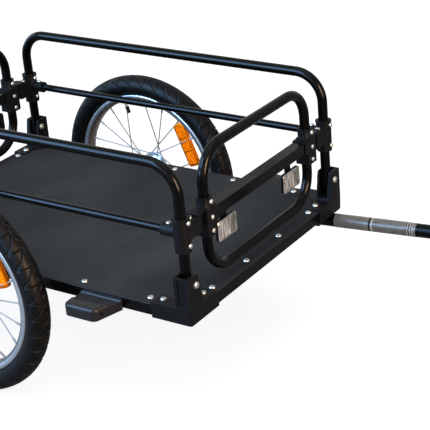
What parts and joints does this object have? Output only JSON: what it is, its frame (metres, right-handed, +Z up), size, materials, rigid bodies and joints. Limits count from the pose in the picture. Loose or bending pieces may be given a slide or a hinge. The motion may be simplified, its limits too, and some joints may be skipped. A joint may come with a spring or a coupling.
{
  "type": "bicycle cargo trailer",
  "caption": "Flat-deck bicycle cargo trailer with folding tube side rails, lift-off end gates, spoked wheels on quick-release axles and a cranked drawbar with a swivelling hitch.",
  "frame": {"origin": "centre of the deck's top face", "axes": "+X forward along the direction of travel, +Y to the left, +Z up"},
  "size_m": [1.3731, 0.6428, 0.4894],
  "materials": {
    "gloss_black_tube": "gloss black powder coat",
    "black_moulding": "fine matt moulding",
    "deck_sheet": "satin sheet",
    "zinc_screws": "bright zinc",
    "knob_moulding": "matt",
    "grey_wrap": "satin film",
    "hitch_steel": "satin zinc",
    "tyre_rubber": "matt",
    "rim_alloy": "polished",
    "spoke_steel": "bright",
    "hub_alloy": "satin",
    "bearing_steel": "ground",
    "amber_lens": "prismatic lens",
    "axle_steel": "satin",
    "button_moulding": "gloss",
    "clear_lens": "prismatic lens"
  },
  "bodies": {
    "chassis": {"left_frame_tube": "gloss_black_tube", "right_frame_tube": "gloss_black_tube", "front_frame_tube": "gloss_black_tube", "rear_frame_tube": "gloss_black_tube", "deck_bearer": "gloss_black_tube", "deck_panel": "deck_sheet", "axle_beam": "gloss_black_tube", "front_left_corner": "black_moulding", "front_right_corner": "black_moulding", "rear_left_corner": "black_moulding", "rear_right_corner": "black_moulding", "deck_screws": "zinc_screws", "left_wheel_guard": "black_moulding", "right_wheel_guard": "black_moulding", "frame_bolts": "zinc_screws", "drawbar_socket": "gloss_black_tube"},
    "clamp_knob": {"clamp_knob": "knob_moulding"},
    "drawbar": {"drawbar_tube": "gloss_black_tube", "drawbar_wrap": "grey_wrap", "drawbar_pins": "zinc_screws"},
    "hitch_knuckle": {"hitch_knuckle": "hitch_steel"},
    "hitch_coupler": {"hitch_coupler": "hitch_steel"},
    "left_rail": {"left_side_hoop": "gloss_black_tube", "left_mid_rail": "gloss_black_tube", "left_tees": "black_moulding", "left_tee_screws": "zinc_screws"},
    "left_axle": {"left_axle": "axle_steel"},
    "left_axle_button": {"left_axle_button": "button_moulding"},
    "left_wheel": {"left_tyre": "tyre_rubber", "left_rim": "rim_alloy", "left_spokes": "spoke_steel", "left_hub": "hub_alloy", "left_bearings": "bearing_steel", "left_wheel_reflectors": "amber_lens"},
    "right_rail": {"right_side_hoop": "gloss_black_tube", "right_mid_rail": "gloss_black_tube", "right_tees": "black_moulding", "right_tee_screws": "zinc_screws"},
    "right_axle": {"right_axle": "axle_steel"},
    "right_axle_button": {"right_axle_button": "button_moulding"},
    "right_wheel": {"right_tyre": "tyre_rubber", "right_rim": "rim_alloy", "right_spokes": "spoke_steel", "right_hub": "hub_alloy", "right_bearings": "bearing_steel", "right_wheel_reflectors": "amber_lens"},
    "front_gate": {"front_upper_hoop": "gloss_black_tube", "front_lower_hoop": "gloss_black_tube", "front_crossbar": "gloss_black_tube", "front_clamps": "black_moulding", "front_gate_screws": "zinc_screws", "front_reflectors": "clear_lens", "front_reflector_hangers": "black_moulding"},
    "rear_gate": {"rear_upper_hoop": "gloss_black_tube", "rear_lower_hoop": "gloss_black_tube", "rear_crossbar": "gloss_black_tube", "rear_clamps": "black_moulding", "rear_gate_screws": "zinc_screws", "rear_reflectors": "clear_lens", "rear_reflector_hangers": "black_moulding"}
  },
  "joints": [
    {"name": "left_rail_fold", "type": "hinge", "parent": "chassis", "child": "left_rail", "pos_m": [0, 0.2275, 0.042], "axis": [1, 0, 0], "range_deg": [0, 87]},
    {"name": "right_rail_fold", "type": "hinge", "parent": "chassis", "child": "right_rail", "pos_m": [0, -0.2275, 0.042], "axis": [1, 0, 0], "range_deg": [-87.5, 0]},
    {"name": "front_gate_lift", "type": "slide", "parent": "chassis", "child": "front_gate", "axis": [0.7071, 0, 0.7071], "range_m": [0, 0.55]},
    {"name": "rear_gate_lift", "type": "slide", "parent": "chassis", "child": "rear_gate", "axis": [-0.7071, 0, 0.7071], "range_m": [0, 0.55]},
    {"name": "clamp_knob_turn", "type": "hinge", "parent": "chassis", "child": "clamp_knob", "pos_m": [0.25727, 0.222, -0.04631], "axis": [-0.0715, 0, 0.9974], "range_deg": [0, 720]},
    {"name": "drawbar_pull", "type": "slide", "parent": "chassis", "child": "drawbar", "axis": [0.9974, 0, 0.0715], "range_m": [0, 0.13]},
    {"name": "hitch_yaw", "type": "hinge", "parent": "drawbar", "child": "hitch_knuckle", "pos_m": [0.90088, 0.08344, 0.08003], "axis": [-0.0715, 0, 0.9974], "range_deg": [-60, 60]},
    {"name": "hitch_pitch", "type": "hinge", "parent": "hitch_knuckle", "child": "hitch_coupler", "pos_m": [0.93081, 0.08344, 0.08218], "axis": [0, 1, 0], "range_deg": [-45, 45]},
    {"name": "left_axle_pull", "type": "slide", "parent": "chassis", "child": "left_axle", "axis": [0, 1, 0], "range_m": [0, 0.07]},
    {"name": "left_wheel_spin", "type": "hinge", "parent": "left_axle", "child": "left_wheel", "pos_m": [-0.1056, 0.287, -0.037], "axis": [0, 1, 0], "continuous": true},
    {"name": "left_axle_button_press", "type": "slide", "parent": "left_axle", "child": "left_axle_button", "axis": [0, -1, 0], "range_m": [0, 0.0035], "stiffness_N_per_m": 400},
    {"name": "right_axle_pull", "type": "slide", "parent": "chassis", "child": "right_axle", "axis": [0, -1, 0], "range_m": [0, 0.07]},
    {"name": "right_wheel_spin", "type": "hinge", "parent": "right_axle", "child": "right_wheel", "pos_m": [-0.1056, -0.287, -0.037], "axis": [0, 1, 0], "continuous": true},
    {"name": "right_axle_button_press", "type": "slide", "parent": "right_axle", "child": "right_axle_button", "axis": [0, 1, 0], "range_m": [0, 0.0035], "stiffness_N_per_m": 400}
  ],
  "couplings": [
    {"joint": "right_rail_fold", "follows": "left_rail_fold", "ratio": -1},
    {"joint": "front_gate_lift", "follows": "left_rail_fold", "m_per_rad": 0.36},
    {"joint": "rear_gate_lift", "follows": "left_rail_fold", "m_per_rad": 0.36}
  ]
}
